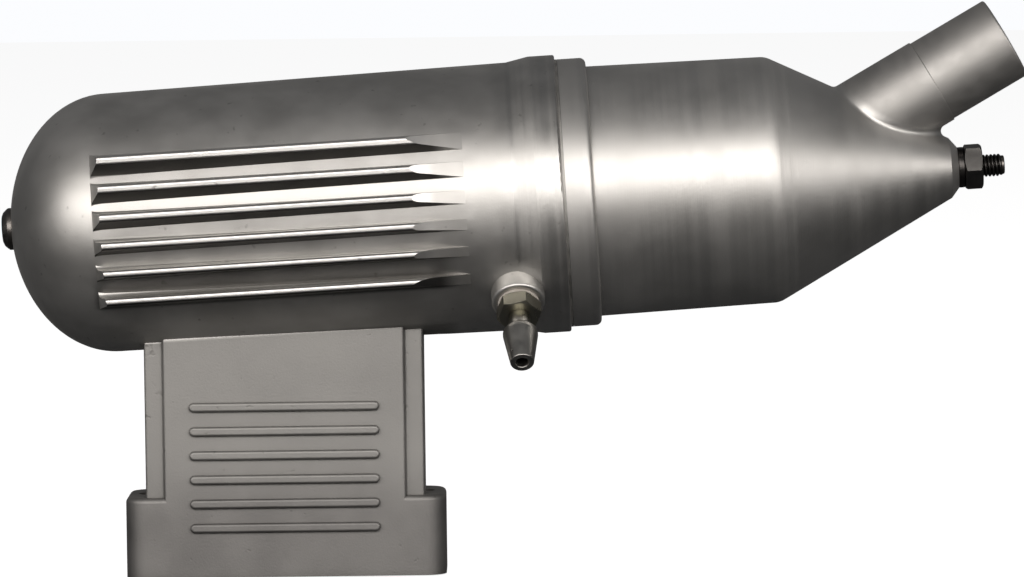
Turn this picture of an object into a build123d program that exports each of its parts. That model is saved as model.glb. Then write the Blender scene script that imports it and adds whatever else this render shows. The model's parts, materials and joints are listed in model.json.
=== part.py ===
"""Two-piece expansion muffler for a small single-cylinder model engine.

A ribbed front housing carries the exhaust neck and its bolting flange. A tail housing with an angled outlet
pipe plugs into its mouth, and one long bolt through both housings, with a nut on the tail, clamps them.
Loosening the nut lets the tail be turned round the bolt to aim the outlet.

Frame: origin at the centre of the flange's seating face, +X along the flange towards the tail, +Z from the
flange to the chamber. Everything on the chamber is placed by its distance along the chamber axis from the
joint plane (positive towards the tail) and its radius. Millimetres.
"""
from build123d import *
from math import asin, cos, degrees, isclose, radians, sin, sqrt, tan
import os

# ---- chamber axis ----
TILT = 3.0                      # chamber axis against the flange, degrees
JOINT_X, JOINT_Z = 37.3, 50.1   # centre of the joint plane

# ---- front housing ----
TIP = -73.6                     # crown of the domed end
DOME_LENGTH = 13.5              # half-axis of the dome's ellipse along the chamber
DOME_END = TIP + DOME_LENGTH
R_DOME = 17.2                   # barrel radius where the dome begins
R_BARREL = 17.85                # barrel radius before the rim, after the casting draft
R_RIM = 18.45
RIM_START, RIM_FULL, RIM_EDGE = -6.5, -3.5, 0.3
WALL = 2.2
SOCKET_DEPTH = 4.4              # counterbore in the mouth that takes the tail's spigot
R_SOCKET = 16.35
SPOT_FACE, R_SPOT_FACE = -72.7, 3.2
R_BOLT_BOSS, BOLT_BOSS_END = 3.6, -69.0

# ---- barrel ribs ----
RIBS, RIB_PITCH, RIB_MIDDLE = 6, 3.73, -0.3
RIB_THICKNESS, R_CREST = 1.0, 19.4
RIB_CROWN, RIB_ROOT = 0.45, 0.7      # rounding along the crests and in the roots
RIB_DEPTH = 4.5                 # how far a rib's section is drawn inwards from its crest, into the wall
UNDERSIDE_DRAFT, LEAST_DRAFT = 22.0, 8.0    # a rib's underside against the radius, and against level
RIB_START, RIB_UP, RIB_DOWN, RIB_END = -62.7, -60.4, -21.5, -12.3
R_RAMP, R_RAMP_FOOT = 19.8, 15.0   # the ribs' end ramps run between these radii at the dome
R_RIB_CORE = 17.05              # the core that joins the ribs, just under the barrel's skin

# ---- neck and flange ----
NECK_X, NECK_Y = 18.5, 7.5      # half sizes of the neck
PAD_X = 16.0                    # half width of the neck's raised front and back
STRIP_SETBACK = 0.9             # how far the strips beside the raised faces are set back
FLANGE_X, FLANGE_HEIGHT, FLANGE_CORNER = 21.25, 10.65, 3.0
DUCT_X, DUCT_Y, DUCT_CORNER = 13.0, 4.9, 2.5
NECK_TOP = 40.0                 # the neck is built up to here, inside the barrel
SCREW_X, R_SCREW_HOLE = 18.0, 1.75
R_SCREW_CHANNEL = 3.0           # channel down each side of the neck for a mounting screw's head
NECK_RIBS, NECK_RIB_PITCH, NECK_RIB_FIRST = 6, 3.21, 6.6
NECK_RIB_LENGTH, NECK_RIB_WIDTH, NECK_RIB_HEIGHT = 25.2, 1.25, 0.7
CAST_EDGE, EAR_EDGE, NECK_RIB_EDGE = 0.4, 0.7, 0.35

# ---- tail housing ----
GASKET_THICKNESS = 0.3
COLLAR_START, COLLAR_END, R_COLLAR = 0.33, 4.1, 17.83
SPIGOT_START, R_SPIGOT = -3.3, 16.30
R_TAIL_START, R_TAIL_END, CONE_START = 16.64, 16.38, 27.95
CONE_END, R_CONE_END = 51.7, 4.0
NOSE_END, R_NOSE = 52.7, 2.75
R_TAIL_CAVITY, CAVITY_CONE_START, CAVITY_END, R_CAVITY_END = 14.6, 26.9, 46.2, 4.3
OUTLET_START, OUTLET_ANGLE, OUTLET_LENGTH = 27.0, 27.0, 37.1
R_OUTLET, R_OUTLET_BORE = 5.75, 4.75
R_OUTLET_FOOT, FOOT_END = 5.92, 25.8        # the pipe's thicker foot, which ends in a small step
COLLAR_ROUND, SHOULDER_ROUND, OUTLET_ROOT, FOOT_EDGE, OUTLET_EDGE = 0.8, 3.0, 0.8, 0.12, 0.3

# ---- baffle ----
R_BAFFLE_RIM, BAFFLE_THICKNESS = 16.25, 1.0
R_BAFFLE_CONE, BAFFLE_END, R_ORIFICE = 13.9, 6.0, 5.4

# ---- bolt, nut and washers ----
R_BOLT, BOLT_END, BOLT_CHAMFER = 1.5, 58.9, 0.35
R_BOLT_HOLE = 1.58
R_HEAD, HEAD_TOP, HEAD_EDGE = 2.8, -74.85, 0.9
HEAD_WASHER = 0.3
CROSS_LENGTH, CROSS_WIDTH, CROSS_DEPTH = 3.1, 0.8, 1.1
SEAT_GAP = 0.02                 # running gap between faces of parts that turn on each other
R_TAIL_WASHER, TAIL_WASHER = 2.7, 0.8
NUT_FLATS, NUT_HEIGHT, R_NUT_BORE = 5.5, 2.4, 1.53
NUT_TURN = 7.5                  # one corner of the nut points this far below the front, degrees

# ---- pressure nipple ----
NIPPLE_AT = -6.8                # along the chamber axis
NIPPLE_DROP = 42.0              # its direction, degrees below the front
R_BOSS, BOSS_END = 3.5, 20.0    # radius of the cast boss, and its face's distance from the chamber axis
R_SHANK, R_NIPPLE_BORE = 1.75, 0.85
SHANK_START = 15.0
NIPPLE_SEAL, R_NIPPLE_SEAL = 0.35, 2.7
HEX_FLATS, HEX_HEIGHT = 5.2, 2.1
R_STEM, R_BARB, R_TIP = 1.4, 2.3, 1.55
BARB_START, BARB_PEAK, BARB_LAND, NIPPLE_END = 24.4, 25.4, 0.5, 30.8

axis_dir = Vector(cos(radians(TILT)), 0, sin(radians(TILT)))
up_dir = Vector(-sin(radians(TILT)), 0, cos(radians(TILT)))
joint = Vector(JOINT_X, 0, JOINT_Z)
chamber_axis = Axis(joint, axis_dir)


def on_axis(distance):
    """The point at a distance along the chamber axis."""
    return joint + axis_dir * distance


def section_plane():
    """The chamber's length section: local x runs along the axis, local y up, and the normal to the front."""
    return Plane(origin=joint, x_dir=axis_dir, z_dir=(0, -1, 0))


def cross_plane(distance):
    """A plane square to the chamber axis: local x points to the back, local y up, the normal to the tail."""
    return Plane(origin=on_axis(distance), x_dir=(0, 1, 0), z_dir=axis_dir)


def turned(*profile):
    """Revolves a closed length section, given as corner points (distance, radius), round the chamber axis."""
    with BuildSketch(section_plane()) as section:
        with BuildLine():
            Polyline(*profile, close=True)
        make_face()
    revolve(section.sketch, axis=chamber_axis)


def ring(start, end, inner, outer):
    """A plain ring on the chamber axis."""
    turned((start, inner), (end, inner), (end, outer), (start, outer))


def round_edges(shape, radius_of_edge, rounding):
    """Rounds the circular edges of one radius."""
    circles = shape.edges().filter_by(GeomType.CIRCLE)
    fillet(circles.filter_by(lambda edge: isclose(edge.radius, radius_of_edge, abs_tol=0.01)), rounding)


def finish(part, name):
    """Labels a finished piece and writes it out."""
    part.label = name
    export_step(part, f"parts/{name}.step")
    print(f"{name:18s} {part.volume:9.1f} mm3  {len(part.solids())} solid(s)")


os.makedirs("parts", exist_ok=True)

# ---------------------------------------------------------------- front housing
rib_heights = [RIB_MIDDLE + RIB_PITCH * (i - (RIBS - 1) / 2) for i in range(RIBS)]

# the barrel ribs, flat on top and sloping inwards underneath, with ramps at both ends
with BuildPart() as barrel_ribs:
    with BuildSketch(cross_plane(RIB_START)) as rib_section:
        Circle(R_RIB_CORE)
        for height in rib_heights:
            crest = sqrt(R_CREST**2 - height**2)
            draft = max(degrees(asin(height / R_CREST)) + UNDERSIDE_DRAFT, LEAST_DRAFT)
            top, underside = height + RIB_THICKNESS / 2, height - RIB_THICKNESS / 2
            foot, root = crest - RIB_DEPTH, underside - RIB_DEPTH * tan(radians(draft))
            with BuildLine():
                Polyline(
                    (-crest, top), (crest, top), (crest, underside),
                    (foot, root), (-foot, root), (-crest, underside),
                    close=True,
                )
            make_face()
        roots = rib_section.vertices().filter_by(lambda v: Vector(v).length < R_RIB_CORE + 0.01)
        fillet(roots, RIB_ROOT)
        crowns = rib_section.vertices().filter_by(lambda v: Vector(v).length > R_CREST - 0.3)
        fillet(crowns, RIB_CROWN)
    extrude(amount=RIB_END - RIB_START)
    with BuildSketch(section_plane()) as ramps:
        with BuildLine():
            Polyline(
                (RIB_START, 0),
                (RIB_START, R_RAMP_FOOT),
                (RIB_UP, R_RAMP),
                (RIB_DOWN, R_RAMP),
                (RIB_END, R_BARREL - 0.2),
                (RIB_END, 0),
                close=True,
            )
        make_face()
    revolve(axis=chamber_axis, mode=Mode.INTERSECT)

# the ears at the neck's foot, rounded along the top
with BuildPart() as flange:
    with BuildSketch(Plane.XY):
        RectangleRounded(2 * FLANGE_X, 2 * NECK_Y, FLANGE_CORNER)
    extrude(amount=FLANGE_HEIGHT)
    fillet(flange.edges().group_by(Axis.Z)[-1], EAR_EDGE)

# the small ribs across the front and the back of the neck
with BuildPart() as neck_ribs:
    for side in (1, -1):
        with BuildSketch(Plane.XZ.offset(side * (NECK_Y + NECK_RIB_HEIGHT))):
            with Locations((0, NECK_RIB_FIRST + NECK_RIB_PITCH * (NECK_RIBS - 1) / 2)):
                with GridLocations(0, NECK_RIB_PITCH, 1, NECK_RIBS):
                    SlotOverall(NECK_RIB_LENGTH, NECK_RIB_WIDTH)
        extrude(amount=-side * 2 * NECK_RIB_HEIGHT)
    fillet(neck_ribs.edges().group_by(Axis.Y)[0], NECK_RIB_EDGE)
    fillet(neck_ribs.edges().group_by(Axis.Y)[-1], NECK_RIB_EDGE)

# the neck: a duct block with raised faces, and a channel down each side for a mounting screw
with BuildPart() as neck:
    with BuildSketch(Plane.XY) as neck_section:
        Rectangle(2 * NECK_X, 2 * (NECK_Y - STRIP_SETBACK))
        Rectangle(2 * PAD_X, 2 * NECK_Y)
        fillet(neck_section.vertices(), CAST_EDGE)
        with Locations((-SCREW_X, 0), (SCREW_X, 0)):
            Circle(R_SCREW_CHANNEL, mode=Mode.SUBTRACT)
    extrude(amount=NECK_TOP)
    add(flange.part)
    add(neck_ribs.part)

nipple_dir = Vector(0, -cos(radians(NIPPLE_DROP)), 0) - up_dir * sin(radians(NIPPLE_DROP))


def nipple_plane(distance):
    """A plane square to the pressure nipple, that far from the chamber axis, facing out."""
    return Plane(origin=on_axis(NIPPLE_AT) + nipple_dir * distance, x_dir=axis_dir, z_dir=nipple_dir)


with BuildPart() as front_housing:
    # domed and slightly tapered barrel, thickened at its mouth
    with BuildSketch(section_plane()) as barrel_section:
        with BuildLine():
            EllipticalCenterArc((DOME_END, 0), DOME_LENGTH, R_DOME, start_angle=90, arc_size=90)
            Polyline(
                (DOME_END, R_DOME),
                (RIM_START, R_BARREL),
                (RIM_FULL, R_RIM),
                (0, R_RIM),
                (0, 0),
                (TIP, 0),
            )
        make_face()
    revolve(axis=chamber_axis)
    round_edges(front_housing, R_RIM, RIM_EDGE)
    add(neck.part)

    # boss for the pressure nipple
    with BuildSketch(nipple_plane(0)):
        Circle(R_BOSS)
    extrude(amount=BOSS_END)
    fillet(front_housing.edges().filter_by(
        lambda e: e.geom_type == GeomType.CIRCLE and isclose(e.radius, R_BOSS, abs_tol=0.01)), CAST_EDGE)
    add(barrel_ribs.part)

    # chamber, the socket in its mouth, and the boss that holds the bolt
    with BuildSketch(section_plane()) as cavity_section:
        with BuildLine():
            EllipticalCenterArc((DOME_END, 0), DOME_LENGTH - WALL, R_DOME - WALL, start_angle=90, arc_size=90)
            Polyline(
                (DOME_END, R_DOME - WALL),
                (-SOCKET_DEPTH, R_BARREL - WALL),
                (-SOCKET_DEPTH, R_SOCKET),
                (0, R_SOCKET),
                (0, 0),
                (TIP + WALL, 0),
            )
        make_face()
    revolve(axis=chamber_axis, mode=Mode.SUBTRACT)
    with BuildSketch(cross_plane(TIP + WALL / 2)):
        Circle(R_BOLT_BOSS)
    extrude(amount=BOLT_BOSS_END - TIP - WALL / 2)

    # exhaust duct, from the seating face into the chamber
    with BuildSketch(Plane.XY):
        RectangleRounded(2 * DUCT_X, 2 * DUCT_Y, DUCT_CORNER)
    extrude(amount=NECK_TOP, mode=Mode.SUBTRACT)

    # bolt hole and its spot face, the nipple's hole and the two mounting holes
    with BuildSketch(cross_plane(SPOT_FACE)):
        Circle(R_SPOT_FACE)
    extrude(amount=-5, mode=Mode.SUBTRACT)
    with BuildSketch(cross_plane(TIP - 1)):
        Circle(R_BOLT_HOLE)
    extrude(amount=10, mode=Mode.SUBTRACT)
    with BuildSketch(nipple_plane(SHANK_START - 2)):
        Circle(R_SHANK + SEAT_GAP)
    extrude(amount=BOSS_END, mode=Mode.SUBTRACT)
    with BuildSketch(Plane.XY):
        with Locations((-SCREW_X, 0), (SCREW_X, 0)):
            Circle(R_SCREW_HOLE)
    extrude(amount=FLANGE_HEIGHT + 0.5, mode=Mode.SUBTRACT)
finish(front_housing.part, "front_housing")

# ---------------------------------------------------------------- joint gasket and baffle
with BuildPart() as joint_gasket:
    ring(0, GASKET_THICKNESS, R_SPIGOT + 0.1, R_COLLAR)
finish(joint_gasket.part, "joint_gasket")

with BuildPart() as baffle_cone:
    rim_front, rim_back = -SOCKET_DEPTH, -SOCKET_DEPTH + BAFFLE_THICKNESS
    turned(
        (rim_front, R_BAFFLE_RIM),
        (rim_back, R_BAFFLE_RIM),
        (rim_back, R_BAFFLE_CONE),
        (BAFFLE_END, R_ORIFICE + BAFFLE_THICKNESS / 2),
        (BAFFLE_END, R_ORIFICE),
        (BAFFLE_END - BAFFLE_THICKNESS, R_ORIFICE),
        (rim_front, R_BAFFLE_CONE - BAFFLE_THICKNESS / 2),
    )
finish(baffle_cone.part, "baffle_cone")

# ---------------------------------------------------------------- tail housing
outlet_dir = axis_dir * cos(radians(OUTLET_ANGLE)) + up_dir * sin(radians(OUTLET_ANGLE))
outlet_foot = OUTLET_LENGTH / 3


def outlet_plane(distance):
    """A plane square to the outlet pipe, that far from where its axis leaves the chamber axis."""
    return Plane(origin=on_axis(OUTLET_START) + outlet_dir * distance, x_dir=(0, 1, 0), z_dir=outlet_dir)


with BuildPart() as tail_housing:
    turned(
        (SPIGOT_START, 0),
        (SPIGOT_START, R_SPIGOT),
        (COLLAR_START, R_SPIGOT),
        (COLLAR_START, R_COLLAR),
        (COLLAR_END, R_COLLAR),
        (COLLAR_END, R_TAIL_START),
        (CONE_START, R_TAIL_END),
        (CONE_END, R_CONE_END),
        (NOSE_END, R_NOSE),
        (NOSE_END, 0),
    )
    round_edges(tail_housing, R_TAIL_END, SHOULDER_ROUND)
    collar_edges = tail_housing.edges().filter_by(GeomType.CIRCLE)
    fillet(collar_edges.filter_by(lambda e: isclose(e.radius, R_COLLAR, abs_tol=0.01)).sort_by(Axis.X)[-1],
           COLLAR_ROUND)
    with BuildSketch(outlet_plane(outlet_foot)):
        Circle(R_OUTLET_FOOT)
    extrude(amount=FOOT_END - outlet_foot)
    fillet(tail_housing.edges(Select.LAST).filter_by(GeomType.BSPLINE), OUTLET_ROOT)
    with BuildSketch(outlet_plane(FOOT_END)):
        Circle(R_OUTLET)
    extrude(amount=OUTLET_LENGTH - FOOT_END)
    foot_edges = tail_housing.edges().filter_by(GeomType.CIRCLE)
    fillet(foot_edges.filter_by(lambda e: isclose(e.radius, R_OUTLET_FOOT, abs_tol=0.01)).sort_by(Axis.X)[-1],
           FOOT_EDGE)
    mouth_edges = tail_housing.edges().filter_by(GeomType.CIRCLE)
    fillet(mouth_edges.filter_by(lambda e: isclose(e.radius, R_OUTLET, abs_tol=0.01)).sort_by(Axis.X)[-1],
           OUTLET_EDGE)
    with BuildSketch(section_plane()) as tail_cavity:
        with BuildLine():
            Polyline(
                (SPIGOT_START, 0),
                (SPIGOT_START, R_TAIL_CAVITY),
                (CAVITY_CONE_START, R_TAIL_CAVITY),
                (CAVITY_END, R_CAVITY_END),
                (CAVITY_END, 0),
                close=True,
            )
        make_face()
    revolve(axis=chamber_axis, mode=Mode.SUBTRACT)
    with BuildSketch(outlet_plane(outlet_foot)):
        Circle(R_OUTLET_BORE)
    extrude(amount=OUTLET_LENGTH, mode=Mode.SUBTRACT)
    with BuildSketch(cross_plane(CAVITY_END - 1)):
        Circle(R_BOLT_HOLE)
    extrude(amount=10, mode=Mode.SUBTRACT)
finish(tail_housing.part, "tail_housing")

# ---------------------------------------------------------------- bolt, washers and nut
head_seat = SPOT_FACE - HEAD_WASHER - SEAT_GAP
crown = head_seat - HEAD_EDGE

with BuildPart() as head_washer:
    ring(SPOT_FACE - HEAD_WASHER, SPOT_FACE, R_BOLT_HOLE, R_SPOT_FACE - 0.1)
finish(head_washer.part, "head_washer")

with BuildPart() as through_bolt:
    with BuildSketch(section_plane()) as bolt_section:
        with BuildLine():
            Polyline(
                (HEAD_TOP, 0),
                (BOLT_END, 0),
                (BOLT_END, R_BOLT - BOLT_CHAMFER),
                (BOLT_END - BOLT_CHAMFER, R_BOLT),
                (head_seat, R_BOLT),
                (head_seat, R_HEAD),
                (crown, R_HEAD),
            )
            EllipticalCenterArc((crown, 0), crown - HEAD_TOP, R_HEAD, start_angle=90, arc_size=90)
        make_face()
    revolve(axis=chamber_axis)
    with BuildSketch(cross_plane(HEAD_TOP)):
        Rectangle(CROSS_LENGTH, CROSS_WIDTH)
        Rectangle(CROSS_WIDTH, CROSS_LENGTH)
    extrude(amount=CROSS_DEPTH, mode=Mode.SUBTRACT)
finish(through_bolt.part, "through_bolt")

washer_start = NOSE_END + SEAT_GAP
with BuildPart() as tail_washer:
    ring(washer_start, washer_start + TAIL_WASHER, R_BOLT_HOLE, R_TAIL_WASHER)
finish(tail_washer.part, "tail_washer")

nut_start = washer_start + TAIL_WASHER + SEAT_GAP
with BuildPart() as tail_nut:
    with BuildSketch(cross_plane(nut_start)):
        RegularPolygon(NUT_FLATS / 2, 6, major_radius=False, rotation=NUT_TURN)
        Circle(R_NUT_BORE, mode=Mode.SUBTRACT)
    extrude(amount=NUT_HEIGHT)
finish(tail_nut.part, "tail_nut")

# ---------------------------------------------------------------- pressure nipple and its seal
with BuildPart() as nipple_seal:
    with BuildSketch(nipple_plane(BOSS_END)):
        Circle(R_NIPPLE_SEAL)
        Circle(R_SHANK + SEAT_GAP, mode=Mode.SUBTRACT)
    extrude(amount=NIPPLE_SEAL)
finish(nipple_seal.part, "nipple_seal")

with BuildPart() as pressure_nipple:
    hex_start = BOSS_END + NIPPLE_SEAL
    with BuildSketch(nipple_plane(SHANK_START)):
        Circle(R_SHANK)
    extrude(amount=hex_start - SHANK_START)
    with BuildSketch(nipple_plane(hex_start)):
        RegularPolygon(HEX_FLATS / 2, 6, major_radius=False, rotation=10)
    extrude(amount=HEX_HEIGHT)
    with BuildSketch(Plane(origin=on_axis(NIPPLE_AT), x_dir=nipple_dir, z_dir=axis_dir)) as barb_section:
        with BuildLine():
            Polyline(
                (hex_start, 0),
                (hex_start, R_STEM),
                (BARB_START, R_STEM),
                (BARB_PEAK, R_BARB),
                (BARB_PEAK + BARB_LAND, R_BARB),
                (NIPPLE_END, R_TIP),
                (NIPPLE_END, 0),
                close=True,
            )
        make_face()
    revolve(axis=Axis(on_axis(NIPPLE_AT), nipple_dir))
    with BuildSketch(nipple_plane(0)):
        Circle(R_NIPPLE_BORE)
    extrude(amount=NIPPLE_END + 1, mode=Mode.SUBTRACT)
finish(pressure_nipple.part, "pressure_nipple")
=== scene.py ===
import json
from math import cos, degrees, pi, radians, sin, tan

import bmesh
import bpy
from mathutils import Matrix, Vector


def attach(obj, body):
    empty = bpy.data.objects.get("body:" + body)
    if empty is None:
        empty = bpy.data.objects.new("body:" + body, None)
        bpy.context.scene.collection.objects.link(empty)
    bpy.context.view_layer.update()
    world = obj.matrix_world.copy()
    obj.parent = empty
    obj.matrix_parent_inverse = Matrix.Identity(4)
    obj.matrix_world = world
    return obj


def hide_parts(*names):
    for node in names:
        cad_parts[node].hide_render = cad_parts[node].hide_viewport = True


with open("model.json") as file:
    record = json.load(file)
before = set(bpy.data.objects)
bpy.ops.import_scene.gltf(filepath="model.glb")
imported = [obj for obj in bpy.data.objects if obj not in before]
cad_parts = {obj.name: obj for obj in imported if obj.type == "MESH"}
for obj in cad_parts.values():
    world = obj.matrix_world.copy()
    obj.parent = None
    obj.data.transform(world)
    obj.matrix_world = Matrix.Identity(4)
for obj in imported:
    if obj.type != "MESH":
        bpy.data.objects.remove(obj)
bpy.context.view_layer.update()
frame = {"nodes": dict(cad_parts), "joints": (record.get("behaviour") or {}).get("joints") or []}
nodes = frame["nodes"]
MM = 0.001

# ---------------------------------------------------------------------------------------------------------
# Front housing. The real one is a gravity die casting in aluminium: domed barrel, six cooling ribs a side,
# exhaust neck, flange ears and nipple boss in one piece. It is bead blasted all over, and its mouth is turned.
# ---------------------------------------------------------------------------------------------------------
swivel = next(joint for joint in frame["joints"] if joint["name"] == "tail_swivel")
chamber_axis = Vector(swivel["axis"]).normalized()
joint_centre = Vector(swivel["pos_m"])
chamber_back = Vector((0, 1, 0))
chamber_up = chamber_axis.cross(chamber_back)


def new_material(name, metallic=1.0):
    """A material with a Principled shader; returns it with its tree and the shader."""
    material = bpy.data.materials.new(name)
    material.use_nodes = True
    tree = material.node_tree
    shader = next(n for n in tree.nodes if n.type == "BSDF_PRINCIPLED")
    shader.inputs["Metallic"].default_value = metallic
    return material, tree, shader


def put(tree, kind, inputs=(), **settings):
    """Adds a node. Inputs are (socket, value or output) pairs; settings are the node's own options."""
    node = tree.nodes.new(kind)
    for option, value in settings.items():
        setattr(node, option, value)
    for socket, value in inputs:
        if isinstance(value, bpy.types.NodeSocket):
            tree.links.new(value, node.inputs[socket])
        else:
            node.inputs[socket].default_value = value
    return node


def maths(tree, operation, first, second=0.0, third=0.0):
    """One Math node's result."""
    return put(tree, "ShaderNodeMath", ((0, first), (1, second), (2, third)), operation=operation).outputs[0]


def ramp(tree, value, low, high, to_low=0.0, to_high=1.0):
    """Takes low..high smoothly to to_low..to_high."""
    inputs = (("Value", value), ("From Min", low), ("From Max", high), ("To Min", to_low), ("To Max", to_high))
    return put(tree, "ShaderNodeMapRange", inputs, interpolation_type="SMOOTHSTEP").outputs["Result"]


def product(tree, first, *others):
    """The product of masks or values."""
    result = first
    for other in others:
        result = maths(tree, "MULTIPLY", result, other)
    return result


def along_direction(tree, point, origin, direction):
    """How far a point lies from the origin along a direction, in mm."""
    offset = put(tree, "ShaderNodeVectorMath", ((0, point), (1, origin)), operation="SUBTRACT").outputs[0]
    inputs = ((0, offset), (1, direction / MM))
    return put(tree, "ShaderNodeVectorMath", inputs, operation="DOT_PRODUCT").outputs["Value"]


def blend_colours(tree, factor, first, second):
    """Mixes two colours by a mask."""
    return put(tree, "ShaderNodeMix", ((0, factor), (6, first), (7, second)), data_type="RGBA").outputs[2]


def new_group(name, inputs, outputs):
    """A shader group with float inputs (name: default) and float outputs; returns tree, inputs, outputs."""
    tree = bpy.data.node_groups.new(name, "ShaderNodeTree")
    for socket, value in inputs.items():
        tree.interface.new_socket(socket, in_out="INPUT", socket_type="NodeSocketFloat").default_value = value
    for socket in outputs:
        tree.interface.new_socket(socket, in_out="OUTPUT", socket_type="NodeSocketFloat")
    return tree, tree.nodes.new("NodeGroupInput").outputs, tree.nodes.new("NodeGroupOutput").inputs


def use_group(tree, group, **values):
    """Places a group with its own values; returns its outputs."""
    node = tree.nodes.new("ShaderNodeGroup")
    node.node_tree = group
    for socket, value in values.items():
        node.inputs[socket].default_value = value
    return node.outputs


def chamber_places():
    """Where a point is on the chamber, in mm: along its axis from the joint, its radius, and its height."""
    tree, _, out = new_group("chamber_places", {}, ("Along", "Radius", "Height"))
    point = put(tree, "ShaderNodeTexCoord").outputs["Object"]
    height = along_direction(tree, point, joint_centre, chamber_up)
    back = along_direction(tree, point, joint_centre, chamber_back)
    tree.links.new(along_direction(tree, point, joint_centre, chamber_axis), out["Along"])
    tree.links.new(height, out["Height"])
    squares = maths(tree, "ADD", maths(tree, "POWER", height, 2.0), maths(tree, "POWER", back, 2.0))
    tree.links.new(maths(tree, "SQRT", squares), out["Radius"])
    return tree


def cast_skin():
    """A blasted casting's skin: fine grain, small scattered pits, and soft cloudy patches. Sizes in mm."""
    tree, into, out = new_group("cast_skin", {"Grain": 0.25, "Patch": 9.0}, ("Height", "Patches", "Pits"))
    point = put(tree, "ShaderNodeTexCoord").outputs["Object"]

    def noise(size, detail, rough=0.5):
        scale = maths(tree, "DIVIDE", 1 / MM, size)
        inputs = (("Vector", point), ("Scale", scale), ("Detail", detail), ("Roughness", rough))
        return put(tree, "ShaderNodeTexNoise", inputs).outputs[0]

    grain = noise(into["Grain"], 3.0, 0.6)
    patches = noise(into["Patch"], 3.0, 0.55)
    pits = ramp(tree, noise(maths(tree, "MULTIPLY", into["Grain"], 5.0), 2.0), 0.68, 0.78)
    waves = noise(into["Patch"], 1.0)
    height = maths(tree, "ADD", grain, maths(tree, "MULTIPLY", pits, -1.2))
    tree.links.new(maths(tree, "ADD", height, maths(tree, "MULTIPLY", waves, 3.0)), out["Height"])
    tree.links.new(ramp(tree, patches, 0.3, 0.7), out["Patches"])
    tree.links.new(pits, out["Pits"])
    return tree


def turning_marks():
    """The rings a lathe leaves: fine grooves round the chamber axis, with broader bands over them."""
    tree, into, out = new_group("turning_marks", {"Pitch": 0.18, "Band": 1.6}, ("Height", "Bands"))
    place = use_group(tree, places)
    lines = []
    for width in (into["Pitch"], into["Band"]):
        along = maths(tree, "DIVIDE", place["Along"], width)
        radius = maths(tree, "DIVIDE", place["Radius"], width)
        point = put(tree, "ShaderNodeCombineXYZ", ((0, along), (1, radius))).outputs[0]
        inputs = (("Vector", point), ("Scale", 1.0), ("Detail", 2.0))
        lines.append(put(tree, "ShaderNodeTexNoise", inputs).outputs[0])
    tree.links.new(lines[0], out["Height"])
    tree.links.new(ramp(tree, lines[1], 0.35, 0.65), out["Bands"])
    return tree


def painted_corner_shade():
    """How deep in a corner a point lies, for the painted shade that darkens corners and recesses."""
    tree, into, out = new_group("painted_corner_shade", {"Reach": 3.0}, ("Amount",))
    reach = maths(tree, "MULTIPLY", into["Reach"], MM)
    hidden = put(tree, "ShaderNodeAmbientOcclusion", (("Distance", reach),), samples=6)
    tree.links.new(ramp(tree, hidden.outputs["AO"], 0.75, 0.25), out["Amount"])
    return tree


def bump(tree, shader, height, depth):
    """Feeds a height to the shader's normal; depth is its full range in mm."""
    node = put(tree, "ShaderNodeBump", (("Height", height), ("Distance", depth * MM), ("Strength", 1.0)))
    tree.links.new(node.outputs["Normal"], shader.inputs["Normal"])


places = chamber_places()
skin = cast_skin()
marks = turning_marks()
corners = painted_corner_shade()

# where the casting's surfaces change, in mm, each as the start and end of a soft step
RIM_FROM = (-9.5, -6.5)          # along the axis: the turned land at the mouth
RIBS_BEFORE = (-14.0, -17.0)     # along the axis: the ribs and the neck lie before this
CRESTS_BEFORE = (-10.0, -12.0)   # along the axis: the rib crests end before this
CRESTS_OUTSIDE = (18.6, 19.2)    # radius: only the rib crests reach this far out
TROUGHS_OUTSIDE = (16.9, 17.2)   # radius: the barrel's wall between the ribs
RIBS_ABOVE = (-11.0, -10.4)      # height over the axis: the lowest rib
NECK_BELOW = (-15.4, -16.1)      # height over the axis: the neck leaves the barrel
NECK_OUTSIDE = (17.2, 17.5)      # radius: the neck, clear of the barrel's underside
FLANGE_BELOW = (16.65, 6.65)     # height over the engine's face: the flange and the neck's foot
FACING_DOWN = (-0.30, -0.55)     # the part of the surface normal that points up the chamber

CAST_GREY = (0.56, 0.55, 0.53, 1)
CAST_PALE = (0.66, 0.65, 0.63, 1)
CREST_GREY = (0.80, 0.79, 0.77, 1)
# painted shadow colour for the downward-facing troughs under the rib crests
RIB_SHADOW_GREY = (0.10, 0.097, 0.092, 1)
# painted shade: the neck's flat face is coloured darker than the barrel, and darker still towards the flange at
# its foot
NECK_SHADE_GREY = (0.31, 0.305, 0.295, 1)
FLANGE_SHADE_GREY = (0.21, 0.205, 0.20, 1)
# darkens the casting's small pits, and is also the painted shade in its corners and recesses
SOOT_AND_SHADE = (0.10, 0.095, 0.09, 1)


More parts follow.
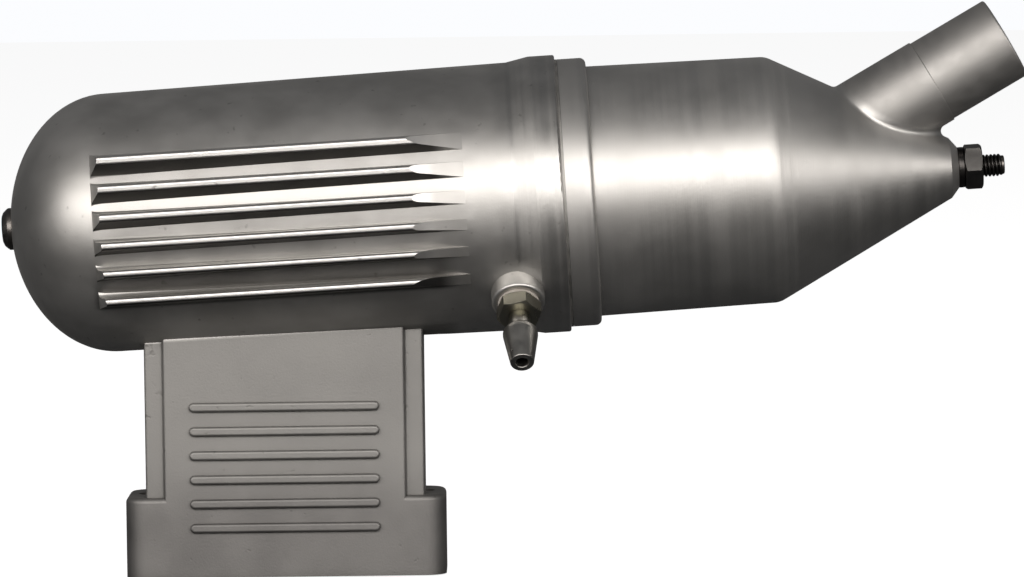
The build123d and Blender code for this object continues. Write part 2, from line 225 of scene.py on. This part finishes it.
def cast_aluminium():
    material, tree, shader = new_material("blasted_cast_aluminium")
    place = use_group(tree, places)
    cast = use_group(tree, skin, Grain=0.3, Patch=9.0)
    turned = use_group(tree, marks, Pitch=0.2, Band=1.5)
    deep = use_group(tree, corners, Reach=2.5)
    point = put(tree, "ShaderNodeTexCoord").outputs["Object"]
    low = put(tree, "ShaderNodeSeparateXYZ", (("Vector", point),)).outputs["Z"]
    # how near the flange a point lies, for the painted shade that darkens the neck downwards
    foot = ramp(tree, low, FLANGE_BELOW[0] * MM, FLANGE_BELOW[1] * MM)
    rim = ramp(tree, place["Along"], *RIM_FROM)
    forward = ramp(tree, place["Along"], *RIBS_BEFORE)
    neck = ramp(tree, place["Height"], *NECK_BELOW)
    neck = product(tree, neck, ramp(tree, place["Radius"], *NECK_OUTSIDE), forward)
    off_neck = maths(tree, "SUBTRACT", 1.0, neck)
    crest = ramp(tree, place["Radius"], *CRESTS_OUTSIDE)
    crest = product(tree, crest, ramp(tree, place["Along"], *CRESTS_BEFORE), off_neck)

    # painted shadow under the ribs: where the surface faces down between two crests, its colour is darkened to
    # stand in for the shade the crest above throws
    facing = put(tree, "ShaderNodeTexCoord").outputs["Normal"]
    inputs = ((0, facing), (1, chamber_up))
    facing_up = put(tree, "ShaderNodeVectorMath", inputs, operation="DOT_PRODUCT").outputs["Value"]
    ribbed = product(tree, ramp(tree, place["Height"], *RIBS_ABOVE), forward)
    ribbed = product(tree, ribbed, ramp(tree, place["Radius"], *TROUGHS_OUTSIDE))
    painted_rib_shadow = product(tree, ramp(tree, facing_up, *FACING_DOWN), ribbed)

    colour = blend_colours(tree, cast["Patches"], CAST_GREY, CAST_PALE)
    # painted shade on the neck, growing darker towards the flange, with a little of the barrel's patchy tone
    # mixed back in
    neck_shade = blend_colours(tree, foot, NECK_SHADE_GREY, FLANGE_SHADE_GREY)
    neck_shade = blend_colours(tree, product(tree, cast["Patches"], 0.15), neck_shade, CAST_GREY)
    colour = blend_colours(tree, neck, colour, neck_shade)
    colour = blend_colours(tree, product(tree, crest, 0.8), colour, CREST_GREY)
    # painted shadow: the rib undersides take the dark trough colour
    colour = blend_colours(tree, painted_rib_shadow, colour, RIB_SHADOW_GREY)
    # painted shade: corners and recesses darkened by ambient occlusion
    colour = blend_colours(tree, product(tree, deep["Amount"], 0.55), colour, SOOT_AND_SHADE)
    colour = blend_colours(tree, product(tree, cast["Pits"], 0.35), colour, SOOT_AND_SHADE)
    tree.links.new(colour, shader.inputs["Base Color"])

    rough = maths(tree, "MULTIPLY_ADD", cast["Patches"], 0.05, 0.44)
    rough = maths(tree, "MULTIPLY_ADD", neck, 0.12, rough)
    rough = maths(tree, "MULTIPLY_ADD", crest, -0.10, rough)
    rough = maths(tree, "MULTIPLY_ADD", product(tree, rim, turned["Bands"]), -0.08, rough)
    tree.links.new(rough, shader.inputs["Roughness"])

    grain = product(tree, cast["Height"], maths(tree, "MULTIPLY_ADD", neck, 0.8, 0.7))
    grooves = product(tree, turned["Height"], rim, 1.2)
    bump(tree, shader, maths(tree, "ADD", grain, grooves), 0.012)
    return material


def repaint(node, material):
    """Gives a CAD node its finish."""
    nodes[node].data.materials.clear()
    nodes[node].data.materials.append(material)


repaint("front_housing", cast_aluminium())

# ---------------------------------------------------------------------------------------------------------
# Tail housing. The real one is cast in the same alloy with its outlet pipe, then turned on the outside: the
# collar, the short barrel and most of the cone carry a lathe's fine rings. The pipe is left as blasted.
# ---------------------------------------------------------------------------------------------------------
CONE_TAPER = 0.521               # the tail cone loses this much radius for each mm along the axis
PIPE_OUTSIDE = (31.5, 32.5)      # mm: the cone's radius, carried back along its taper, stays under this

TAIL_GREY = (0.60, 0.59, 0.57, 1)
TAIL_PALE = (0.68, 0.67, 0.65, 1)
PIPE_GREY = (0.47, 0.46, 0.445, 1)


def turned_aluminium():
    material, tree, shader = new_material("turned_cast_aluminium")
    place = use_group(tree, places)
    cast = use_group(tree, skin, Grain=0.22, Patch=12.0)
    turned = use_group(tree, marks, Pitch=0.16, Band=2.2)
    deep = use_group(tree, corners, Reach=2.0)
    colour = blend_colours(tree, cast["Patches"], TAIL_GREY, TAIL_PALE)
    colour = blend_colours(tree, product(tree, turned["Bands"], 0.15), colour, TAIL_GREY)

    # outside the cone's own slope there is only the outlet pipe
    pipe = ramp(tree, maths(tree, "MULTIPLY_ADD", place["Along"], CONE_TAPER, place["Radius"]), *PIPE_OUTSIDE)
    colour = blend_colours(tree, pipe, colour, PIPE_GREY)
    # painted shade: corners and recesses darkened by ambient occlusion
    colour = blend_colours(tree, product(tree, deep["Amount"], 0.45), colour, SOOT_AND_SHADE)
    tree.links.new(colour, shader.inputs["Base Color"])
    rough = maths(tree, "MULTIPLY_ADD", turned["Bands"], 0.05, 0.42)
    rough = maths(tree, "MULTIPLY_ADD", pipe, 0.10, rough)
    tree.links.new(maths(tree, "MULTIPLY_ADD", cast["Patches"], 0.04, rough), shader.inputs["Roughness"])
    rings = product(tree, turned["Height"], 0.8)
    bump(tree, shader, maths(tree, "ADD", rings, product(tree, cast["Height"], 0.35)), 0.012)
    return material


repaint("tail_housing", turned_aluminium())

# ---------------------------------------------------------------------------------------------------------
# Baffle and joint gasket. The baffle is a cone pressed from thin aluminium sheet, browned by the exhaust,
# and the gasket is a flat ring of soft aluminium. The housings clamp both.
# ---------------------------------------------------------------------------------------------------------
BROWN, DARK_BROWN = (0.42, 0.36, 0.30, 1), (0.30, 0.25, 0.21, 1)
GASKET_GREY, GASKET_PALE = (0.40, 0.39, 0.37, 1), (0.50, 0.49, 0.47, 1)


def browned_sheet():
    material, tree, shader = new_material("browned_aluminium_sheet")
    cast = use_group(tree, skin, Grain=0.4, Patch=5.0)
    colour = blend_colours(tree, cast["Patches"], BROWN, DARK_BROWN)
    tree.links.new(colour, shader.inputs["Base Color"])
    tree.links.new(maths(tree, "MULTIPLY_ADD", cast["Patches"], 0.15, 0.4), shader.inputs["Roughness"])
    bump(tree, shader, cast["Height"], 0.01)
    return material


def soft_aluminium():
    material, tree, shader = new_material("soft_aluminium_gasket")
    cast = use_group(tree, skin, Grain=0.12, Patch=2.0)
    colour = blend_colours(tree, cast["Patches"], GASKET_GREY, GASKET_PALE)
    tree.links.new(colour, shader.inputs["Base Color"])
    tree.links.new(maths(tree, "MULTIPLY_ADD", cast["Patches"], 0.1, 0.5), shader.inputs["Roughness"])
    bump(tree, shader, cast["Height"], 0.01)
    return material


repaint("baffle_cone", browned_sheet())
repaint("joint_gasket", soft_aluminium())

# ---------------------------------------------------------------------------------------------------------
# Through bolt. A long pan-head bolt of plain steel with a cross recess, its last stretch cut with a 0.5 mm
# thread and its end chamfered. Its head pulls on a thin zinc-plated washer in the dome's spot face.
# ---------------------------------------------------------------------------------------------------------
# the pale of handled edges, and the painted shade for the steel's corners
HANDLED_EDGE, STEEL_CORNER_SHADE = (0.45, 0.44, 0.42, 1), (0.012, 0.011, 0.010, 1)

chamber = Matrix((chamber_axis, chamber_back, chamber_up)).transposed().to_4x4()
chamber.translation = joint_centre
SMOOTH_BELOW = 40.0       # edges that turn by less than this many degrees are shaded smooth
CROSS_SMOOTH = 35.0


def mesh_object(name, verts, faces, place, material, smooth=SMOOTH_BELOW):
    """A mesh given in mm in a local frame, set in its place; doubles are merged and faces turned outwards."""
    mesh = bpy.data.meshes.new(name)
    mesh.from_pydata([place @ (Vector(v) * MM) for v in verts], [], faces)
    shape = bmesh.new()
    shape.from_mesh(mesh)
    bmesh.ops.remove_doubles(shape, verts=shape.verts, dist=0.002 * MM)
    bmesh.ops.dissolve_degenerate(shape, edges=shape.edges, dist=0.001 * MM)
    bmesh.ops.recalc_face_normals(shape, faces=shape.faces)
    shape.to_mesh(mesh)
    shape.free()
    mesh.materials.append(material)
    piece = bpy.data.objects.new(name, mesh)
    bpy.context.scene.collection.objects.link(piece)
    mesh.shade_smooth()
    mesh.set_sharp_from_angle(angle=radians(smooth))
    return piece


def rounded(outline, radius, steps=4, closed=False):
    """The outline of (along, radius) points with each corner off the axis replaced by a small arc."""
    points = [Vector(p) for p in outline]
    result = []
    for i, corner in enumerate(points):
        at_end = i == 0 or i == len(points) - 1
        if (at_end and not closed) or corner.y < 1e-6:
            result.append(corner)
            continue
        to_before, to_after = points[i - 1] - corner, points[(i + 1) % len(points)] - corner
        turn = to_before.angle(to_after)
        reach = min(radius / tan(turn / 2), 0.45 * to_before.length, 0.45 * to_after.length)
        start, end = corner + to_before.normalized() * reach, corner + to_after.normalized() * reach
        for k in range(steps + 1):
            t = k / steps
            result.append(start * (1 - t) ** 2 + corner * 2 * t * (1 - t) + end * t * t)
    return result


def lathe(outline, segments=64, closed=False):
    """Verts and faces of an outline of (along, radius) points turned round local x; closed joins its ends."""
    verts, faces = [], []
    for along, radius in outline:
        for k in range(segments):
            a = 2 * pi * k / segments
            verts.append((along, radius * cos(a), radius * sin(a)))
    count = len(outline)
    for i in range(count if closed else count - 1):
        j = (i + 1) % count
        for k in range(segments):
            n = (k + 1) % segments
            faces.append((i * segments + k, i * segments + n, j * segments + n, j * segments + k))
    return verts, faces


def worn_steel(name, tone, rough):
    """Steel with a soft cloudy tone, with painted shade darkening its corners, and paler where edges have been
    handled.
    """
    material, tree, shader = new_material(name)
    cast = use_group(tree, skin, Grain=0.15, Patch=2.5)
    corner_shadow = use_group(tree, corners, Reach=0.5)
    edge = ramp(tree, put(tree, "ShaderNodeNewGeometry").outputs["Pointiness"], 0.53, 0.60)
    light, dark = tuple(1.4 * c for c in tone) + (1,), tuple(tone) + (1,)
    colour = blend_colours(tree, cast["Patches"], dark, light)
    colour = blend_colours(tree, product(tree, edge, 0.3), colour, HANDLED_EDGE)
    # painted shade: corners darkened by ambient occlusion
    colour = blend_colours(tree, product(tree, corner_shadow["Amount"], 0.7), colour, STEEL_CORNER_SHADE)
    tree.links.new(colour, shader.inputs["Base Color"])
    tree.links.new(maths(tree, "MULTIPLY_ADD", cast["Patches"], 0.12, rough), shader.inputs["Roughness"])
    bump(tree, shader, cast["Height"], 0.004)
    return material


black_steel = worn_steel("blackened_steel", (0.055, 0.052, 0.05), 0.28)
bolt_steel = worn_steel("dull_steel", (0.16, 0.15, 0.14), 0.30)
zinc_steel = worn_steel("zinc_plated_steel", (0.42, 0.41, 0.39), 0.32)

BOLT_RADIUS, BOLT_ROOT = 1.5, 1.24
HEAD_SEAT, HEAD_TOP, HEAD_RADIUS = -73.02, -74.85, 2.8
CROSS_LENGTH, CROSS_WIDTH, CROSS_DEPTH = 3.1, 0.8, 1.1
THREAD_START, BOLT_END = 42.0, 58.9
THREAD_PITCH, THREAD_SEGMENTS = 0.5, 40


def thread_tree():
    """A cut thread round local x from its named sizes: one long strip wound on, running out at both ends."""
    tree = bpy.data.node_groups.new("cut_thread", "GeometryNodeTree")
    sizes = {"Radius": BOLT_RADIUS, "Root": BOLT_ROOT, "Pitch": THREAD_PITCH, "Start": THREAD_START,
             "Turns": 30.0, "Runout": 0.5}
    tree.interface.new_socket("Geometry", in_out="INPUT", socket_type="NodeSocketGeometry")
    for name, value in sizes.items():
        tree.interface.new_socket(name, in_out="INPUT", socket_type="NodeSocketFloat").default_value = value
    tree.interface.new_socket("Material", in_out="INPUT", socket_type="NodeSocketMaterial")
    tree.interface.new_socket("Geometry", in_out="OUTPUT", socket_type="NodeSocketGeometry")
    into = tree.nodes.new("NodeGroupInput").outputs
    out = tree.nodes.new("NodeGroupOutput").inputs

    # the strip is a grid: its length winds round the bolt, and its five rows go root, flank, crest, flank, root
    rows = maths(tree, "MULTIPLY_ADD", into["Turns"], THREAD_SEGMENTS, 1.0)
    grid_sizes = (("Size X", 1.0), ("Size Y", 1.0), ("Vertices X", rows), ("Vertices Y", 5))
    grid = put(tree, "GeometryNodeMeshGrid", grid_sizes)
    place = put(tree, "ShaderNodeSeparateXYZ", (("Vector", put(tree, "GeometryNodeInputPosition").outputs[0]),))
    around = maths(tree, "MULTIPLY", maths(tree, "ADD", place.outputs["X"], 0.5), into["Turns"])
    across = maths(tree, "ADD", place.outputs["Y"], 0.5)
    from_middle = maths(tree, "ABSOLUTE", maths(tree, "MULTIPLY_ADD", across, 2.0, -1.0))
    height = maths(tree, "SUBTRACT", 1.0, from_middle)
    height = maths(tree, "MINIMUM", maths(tree, "MULTIPLY", height, 1.6), 1.0)
    to_end = maths(tree, "MINIMUM", around, maths(tree, "SUBTRACT", into["Turns"], around))
    runout = maths(tree, "MINIMUM", maths(tree, "DIVIDE", to_end, into["Runout"]), 1.0)
    depth = maths(tree, "MULTIPLY", maths(tree, "SUBTRACT", into["Radius"], into["Root"]), runout)
    radius = maths(tree, "MULTIPLY_ADD", height, depth, into["Root"])
    angle = maths(tree, "MULTIPLY", around, 2 * pi)
    along = maths(tree, "MULTIPLY_ADD", maths(tree, "ADD", around, across), into["Pitch"], into["Start"])
    wound = put(tree, "ShaderNodeCombineXYZ", (
        ("X", along),
        ("Y", maths(tree, "MULTIPLY", radius, maths(tree, "COSINE", angle))),
        ("Z", maths(tree, "MULTIPLY", radius, maths(tree, "SINE", angle))),
    )).outputs[0]
    strip = put(tree, "GeometryNodeSetPosition", (("Geometry", grid.outputs["Mesh"]), ("Position", wound)))
    real = put(tree, "GeometryNodeRealizeInstances", (("Geometry", strip.outputs["Geometry"]),))
    paint_inputs = (("Geometry", real.outputs["Geometry"]), ("Material", into["Material"]))
    painted = put(tree, "GeometryNodeSetMaterial", paint_inputs)
    tree.links.new(painted.outputs["Geometry"], out["Geometry"])
    return tree


def grown(name, tree, place, **values):
    """Runs a Geometry Nodes tree once with the named values, and keeps its mesh, set in its place."""
    seed = bpy.data.objects.new(name + "_seed", bpy.data.meshes.new(name + "_seed"))
    bpy.context.scene.collection.objects.link(seed)
    modifier = seed.modifiers.new(name, "NODES")
    modifier.node_group = tree
    for socket in tree.interface.items_tree:
        if socket.item_type == "SOCKET" and socket.in_out == "INPUT" and socket.name in values:
            modifier[socket.identifier] = values[socket.name]
    graph = bpy.context.evaluated_depsgraph_get()
    graph.update()
    mesh = bpy.data.meshes.new_from_object(seed.evaluated_get(graph))
    seed.modifiers.remove(modifier)
    bpy.data.objects.remove(seed)
    for vertex in mesh.vertices:
        vertex.co = place @ (vertex.co * MM)
    piece = bpy.data.objects.new(name, mesh)
    bpy.context.scene.collection.objects.link(piece)
    shape = bmesh.new()
    shape.from_mesh(mesh)
    bmesh.ops.remove_doubles(shape, verts=shape.verts, dist=0.002 * MM)
    shape.to_mesh(mesh)
    shape.free()
    mesh.shade_smooth()
    mesh.set_sharp_from_angle(angle=radians(SMOOTH_BELOW))
    return piece


def cut_cross(piece, place, opening, length, width, depth):
    """Cuts a tapered cross-shaped recess into a piece, from the opening inwards along local x."""
    mouth, foot, clearance = 1.1, 0.6, 0.5
    outline = []
    for quarter in range(4):
        c, s = (1, 0, -1, 0)[quarter], (0, 1, 0, -1)[quarter]
        for across, aside in ((width, -width), (length, -width), (length, width)):
            outline.append((across / 2 * c - aside / 2 * s, across / 2 * s + aside / 2 * c))
    count = len(outline)
    verts = [(opening - clearance, mouth * y, mouth * z) for y, z in outline]
    verts += [(opening + depth, foot * y, foot * z) for y, z in outline]
    faces = [(i, (i + 1) % count, count + (i + 1) % count, count + i) for i in range(count)]
    faces += [tuple(range(count)), tuple(range(count, 2 * count))]
    cutter = mesh_object("cross_cutter", verts, faces, place, piece.data.materials[0])
    modifier = piece.modifiers.new("cross", "BOOLEAN")
    modifier.operation, modifier.solver, modifier.object = "DIFFERENCE", "EXACT", cutter
    graph = bpy.context.evaluated_depsgraph_get()
    graph.update()
    piece.data = bpy.data.meshes.new_from_object(piece.evaluated_get(graph))
    piece.modifiers.clear()
    bpy.data.objects.remove(cutter)
    piece.data.shade_smooth()
    piece.data.set_sharp_from_angle(angle=radians(CROSS_SMOOTH))


core_radius = BOLT_ROOT + 0.005
thread_from = THREAD_START + 0.3
thread_turns = int((BOLT_END - thread_from) / THREAD_PITCH) - 1
shank = [(HEAD_SEAT, 0), (HEAD_SEAT, BOLT_RADIUS), (THREAD_START, BOLT_RADIUS), (thread_from, core_radius),
         (BOLT_END - 0.1, core_radius), (BOLT_END, core_radius - 0.15), (BOLT_END, 0)]
head = [(HEAD_SEAT, 0), (HEAD_SEAT, HEAD_RADIUS), (HEAD_SEAT - 0.9, HEAD_RADIUS),
        (HEAD_TOP + 0.30, HEAD_RADIUS * 0.80), (HEAD_TOP + 0.08, HEAD_RADIUS * 0.62), (HEAD_TOP + 0.02, 0)]
bolt_head = mesh_object("bolt_head", *lathe(rounded(head, 0.5, 6)), chamber, bolt_steel)
cut_cross(bolt_head, chamber, HEAD_TOP, CROSS_LENGTH, CROSS_WIDTH, CROSS_DEPTH)
bolt_pieces = [
    bolt_head,
    mesh_object("bolt_shank", *lathe(rounded(shank, 0.1)), chamber, bolt_steel),
    grown("bolt_thread", thread_tree(), chamber, Radius=BOLT_RADIUS, Root=BOLT_ROOT, Pitch=THREAD_PITCH,
          Start=thread_from, Turns=float(thread_turns), Material=black_steel),
]
for piece in bolt_pieces:
    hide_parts("through_bolt")
    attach(piece, "bolt")

repaint("head_washer", zinc_steel)

# ---------------------------------------------------------------------------------------------------------
# Nut and washer on the tail. An M3 hexagon nut, 5.5 mm across flats, blackened, with its corners chamfered
# on both faces, on a thick plain washer of the same finish.
# ---------------------------------------------------------------------------------------------------------
BORE_CHAMFER = 0.15
WASHER_START, WASHER_END, WASHER_RADIUS, WASHER_BORE = 52.72, 53.52, 2.7, 1.58
NUT_START, NUT_END, NUT_FLATS, NUT_BORE, NUT_CORNER = 53.54, 55.94, 5.5, 1.53, 187.5


def hexagon(flats, start, end, bore, turn, outer_chamfer, segments=72):
    """A bored hexagon prism round local x, chamfered on both faces; turn is its first corner, in degrees."""
    verts, faces = [], []
    flat = flats / 2 * 0.97

    def edge_radius(angle):
        aside = (degrees(angle) - turn) % 60 - 30
        return flats / 2 / cos(radians(aside))

    rows = ("bore", "chamfer", "side", "side", "chamfer", "bore")
    for i, row in enumerate(rows):
        near = i < 3
        face = start if near else end
        inwards = 1 if near else -1
        for k in range(segments):
            a = 2 * pi * k / segments + radians(turn)
            reach = edge_radius(a)
            if row == "bore":
                verts.append((face + inwards * BORE_CHAMFER, bore * cos(a), bore * sin(a)))
            elif row == "chamfer":
                verts.append((face, flat * cos(a), flat * sin(a)))
            else:
                drop = (reach - flat) * outer_chamfer
                verts.append((face + inwards * drop, reach * cos(a), reach * sin(a)))
    inner = len(rows)
    for i in (0, 5):
        face = start if i == 0 else end
        for k in range(segments):
            a = 2 * pi * k / segments + radians(turn)
            verts.append((face, (bore + BORE_CHAMFER) * cos(a), (bore + BORE_CHAMFER) * sin(a)))
    order = (0, inner, 1, 2, 3, 4, inner + 1, 5)
    for i in range(len(order)):
        first, second = order[i], order[(i + 1) % len(order)]
        for k in range(segments):
            n = (k + 1) % segments
            here, there = first * segments, second * segments
            faces.append((here + k, here + n, there + n, there + k))
    return verts, faces


washer_outline = [(WASHER_START, WASHER_BORE), (WASHER_END, WASHER_BORE),
                  (WASHER_END, WASHER_RADIUS), (WASHER_START, WASHER_RADIUS)]
washer_outline = rounded(washer_outline, 0.15, 3, closed=True)
washer = mesh_object("nut_washer", *lathe(washer_outline, closed=True), chamber, black_steel)
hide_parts("tail_washer")
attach(washer, "nut")

nut_shape = hexagon(NUT_FLATS, NUT_START, NUT_END, NUT_BORE, NUT_CORNER, 0.55)
nut = mesh_object("hexagon_nut", *nut_shape, chamber, black_steel, 25.0)
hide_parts("tail_nut")
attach(nut, "nut")

# ---------------------------------------------------------------------------------------------------------
# Pressure nipple and its seal. The nipple is turned from brass and thinly nickelled: hexagon, groove, one
# barb and a long taper, bored through. It screws into the boss on a pale fibre seal.
# ---------------------------------------------------------------------------------------------------------
NIPPLE_AT, NIPPLE_DROP = -6.8, radians(42)
SEAT, SEAL, HEX_FLATS, HEX_HEIGHT = 20.0, 0.35, 5.2, 2.1
SHANK_START, SHANK_RADIUS, STEM_RADIUS, BORE_RADIUS = 15.0, 1.75, 1.4, 0.85
BARB_START, BARB_PEAK, BARB_LAND, BARB_RADIUS = 24.4, 25.4, 0.5, 2.3
NIPPLE_END, TIP_RADIUS = 30.8, 1.55

NICKEL_GREY, NICKEL_PALE = (0.42, 0.41, 0.39, 1), (0.52, 0.51, 0.48, 1)
# brass showing through worn nickel, and the painted shade for the nipple's corners
WORN_BRASS, NIPPLE_CORNER_SHADE = (0.36, 0.345, 0.27, 1), (0.03, 0.028, 0.02, 1)
FIBRE_BROWN, FIBRE_PALE = (0.30, 0.27, 0.24, 1), (0.40, 0.37, 0.33, 1)

nipple_out = -cos(NIPPLE_DROP) * chamber_back - sin(NIPPLE_DROP) * chamber_up
nipple = Matrix((nipple_out, chamber_axis, nipple_out.cross(chamber_axis))).transposed().to_4x4()
nipple.translation = joint_centre + chamber_axis * NIPPLE_AT * MM


def nickelled_brass():
    material, tree, shader = new_material("nickelled_brass")
    cast = use_group(tree, skin, Grain=0.18, Patch=2.0)
    corner_shadow = use_group(tree, corners, Reach=1.0)
    point = put(tree, "ShaderNodeTexCoord").outputs["Object"]
    out = along_direction(tree, point, nipple.translation, nipple_out)
    hexagon_part = ramp(tree, out, BARB_START - 0.2, BARB_START - 1.4)
    colour = blend_colours(tree, cast["Patches"], NICKEL_GREY, NICKEL_PALE)
    colour = blend_colours(tree, product(tree, hexagon_part, 0.8), colour, WORN_BRASS)
    # painted shade: the nipple's corners and the hexagon's nooks darkened by ambient occlusion
    colour = blend_colours(tree, product(tree, corner_shadow["Amount"], 0.8), colour, NIPPLE_CORNER_SHADE)
    tree.links.new(colour, shader.inputs["Base Color"])
    tree.links.new(maths(tree, "MULTIPLY_ADD", cast["Patches"], 0.08, 0.27), shader.inputs["Roughness"])
    line = put(tree, "ShaderNodeCombineXYZ", (("X", out),)).outputs[0]
    rings = put(tree, "ShaderNodeTexNoise", (("Vector", line), ("Scale", 7.0), ("Detail", 2.0)))
    bump(tree, shader, maths(tree, "ADD", rings.outputs[0], product(tree, cast["Height"], 0.15)), 0.008)
    return material


def fibre():
    material, tree, shader = new_material("fibre_seal", metallic=0.0)
    cast = use_group(tree, skin, Grain=0.1, Patch=0.8)
    colour = blend_colours(tree, cast["Patches"], FIBRE_BROWN, FIBRE_PALE)
    tree.links.new(colour, shader.inputs["Base Color"])
    tree.links.new(maths(tree, "MULTIPLY_ADD", cast["Patches"], 0.1, 0.7), shader.inputs["Roughness"])
    bump(tree, shader, cast["Height"], 0.01)
    return material


nickel = nickelled_brass()
hex_start = SEAT + SEAL
hex_part = hexagon(HEX_FLATS, hex_start, hex_start + HEX_HEIGHT, STEM_RADIUS - 0.2, 10.0, 0.5)
spout = [(SHANK_START, BORE_RADIUS), (SHANK_START, SHANK_RADIUS), (hex_start + 0.3, SHANK_RADIUS),
         (hex_start + 0.6, STEM_RADIUS), (BARB_START, STEM_RADIUS), (BARB_PEAK, BARB_RADIUS),
         (BARB_PEAK + BARB_LAND, BARB_RADIUS),
         (NIPPLE_END, TIP_RADIUS), (NIPPLE_END, BORE_RADIUS)]
nipple_pieces = [
    mesh_object("nipple_hexagon", *hex_part, nipple, nickel, 25.0),
    mesh_object("nipple_spout", *lathe(rounded(spout, 0.18, 4, closed=True), closed=True), nipple, nickel),
]
for piece in nipple_pieces:
    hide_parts("pressure_nipple")
    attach(piece, "front")

repaint("nipple_seal", fibre())

# ---------------------------------------------------------------------------------------------------------
# Studio: a pale floor, a white surround and one long soft light from the front and above. The camera stands
# square to the muffler's nipple side, a little above it.
# ---------------------------------------------------------------------------------------------------------
CAMERA_DISTANCE, CAMERA_RISE, CAMERA_ROLL = 0.9, 3.5, 0.72     # m, degrees, degrees
AIM = Vector((30.38, 0, 37.46)) * MM
VIEW_WIDTH = 136.5 * MM
SENSOR = 36
WARM_LIGHT = (1.0, 0.955, 0.915)


def aim(thing, eye, target, roll=0.0):
    """Stands a camera or light at eye, facing the target."""
    turn = (target - eye).to_track_quat("-Z", "Y").to_matrix().to_4x4()
    thing.matrix_world = Matrix.Translation(eye) @ turn @ Matrix.Rotation(radians(roll), 4, "Z")


camera_data = bpy.data.cameras.new("camera")
camera_data.sensor_width = SENSOR
camera_data.lens = SENSOR * CAMERA_DISTANCE / VIEW_WIDTH
camera_data.clip_start = 0.01
camera = bpy.data.objects.new("camera", camera_data)
bpy.context.scene.collection.objects.link(camera)
rise = radians(CAMERA_RISE)
aim(camera, AIM + CAMERA_DISTANCE * Vector((0, -cos(rise), sin(rise))), AIM, -CAMERA_ROLL)
bpy.context.scene.camera = camera


def softbox(name, width, height, power, eye):
    """A rectangular soft light, sizes in m and power in W, facing the muffler."""
    data = bpy.data.lights.new(name, "AREA")
    data.shape = "RECTANGLE"
    data.size, data.size_y, data.energy = width, height, power
    data.color = WARM_LIGHT
    light = bpy.data.objects.new(name, data)
    bpy.context.scene.collection.objects.link(light)
    light.visible_camera = False
    aim(light, Vector(eye), AIM)


softbox("key", 3.2, 0.46, 16.8, (0.0, -0.80, 0.33))

bpy.ops.mesh.primitive_plane_add(size=6)
floor = bpy.context.object
floor.name = "floor"
floor.location.z = -0.0002
floor_material, floor_tree, floor_shader = new_material("pale_floor", metallic=0.0)
floor_shader.inputs["Base Color"].default_value = (0.9, 0.9, 0.9, 1)
floor_shader.inputs["Roughness"].default_value = 1.0
floor_shader.inputs["Emission Color"].default_value = (1, 1, 1, 1)
floor_shader.inputs["Emission Strength"].default_value = 0.85
floor.data.materials.append(floor_material)
floor.visible_glossy = False

world = bpy.data.worlds.new("studio")
bpy.context.scene.world = world
world.use_nodes = True
world_tree = world.node_tree
surround = next(n for n in world_tree.nodes if n.type == "BACKGROUND")
direction = put(world_tree, "ShaderNodeTexCoord").outputs["Generated"]
up = put(world_tree, "ShaderNodeSeparateXYZ", (("Vector", direction),)).outputs["Z"]
strength = ramp(world_tree, up, -0.6, 0.6, 0.03, 0.10)
seen = put(world_tree, "ShaderNodeLightPath").outputs["Is Camera Ray"]
world_tree.links.new(maths(world_tree, "MAXIMUM", strength, seen), surround.inputs["Strength"])
surround.inputs["Color"].default_value = (0.97, 0.98, 1, 1)
bpy.context.scene.view_settings.view_transform = "Standard"
